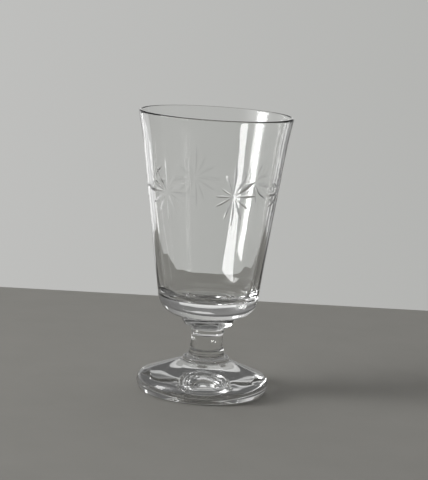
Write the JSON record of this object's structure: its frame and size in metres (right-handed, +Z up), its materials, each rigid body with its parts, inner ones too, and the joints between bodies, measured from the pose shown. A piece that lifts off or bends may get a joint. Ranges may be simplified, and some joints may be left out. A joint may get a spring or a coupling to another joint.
{
  "type": "footed whiskey glass",
  "caption": "Footed drinking glass: a flared bowl with wheel-cut stars on a short collared stem and a thick round foot with a hollowed underside.",
  "frame": {"origin": "middle of the face that the foot rests on", "axes": "+Z up along the glass's axis, from the foot to the rim; the front is -Y, with the first cut star 18 degrees from it towards +X"},
  "size_m": [0.0768, 0.0768, 0.14],
  "materials": {
    "clear_glass": "polished, hand-blown, with a faint grey-green tint and soft waves"
  },
  "bodies": {
    "root": {"bowl": "clear_glass", "upper_collar": "clear_glass", "stem_ring": "clear_glass", "stem": "clear_glass", "foot_collar": "clear_glass", "foot": "clear_glass"}
  },
  "joints": []
}
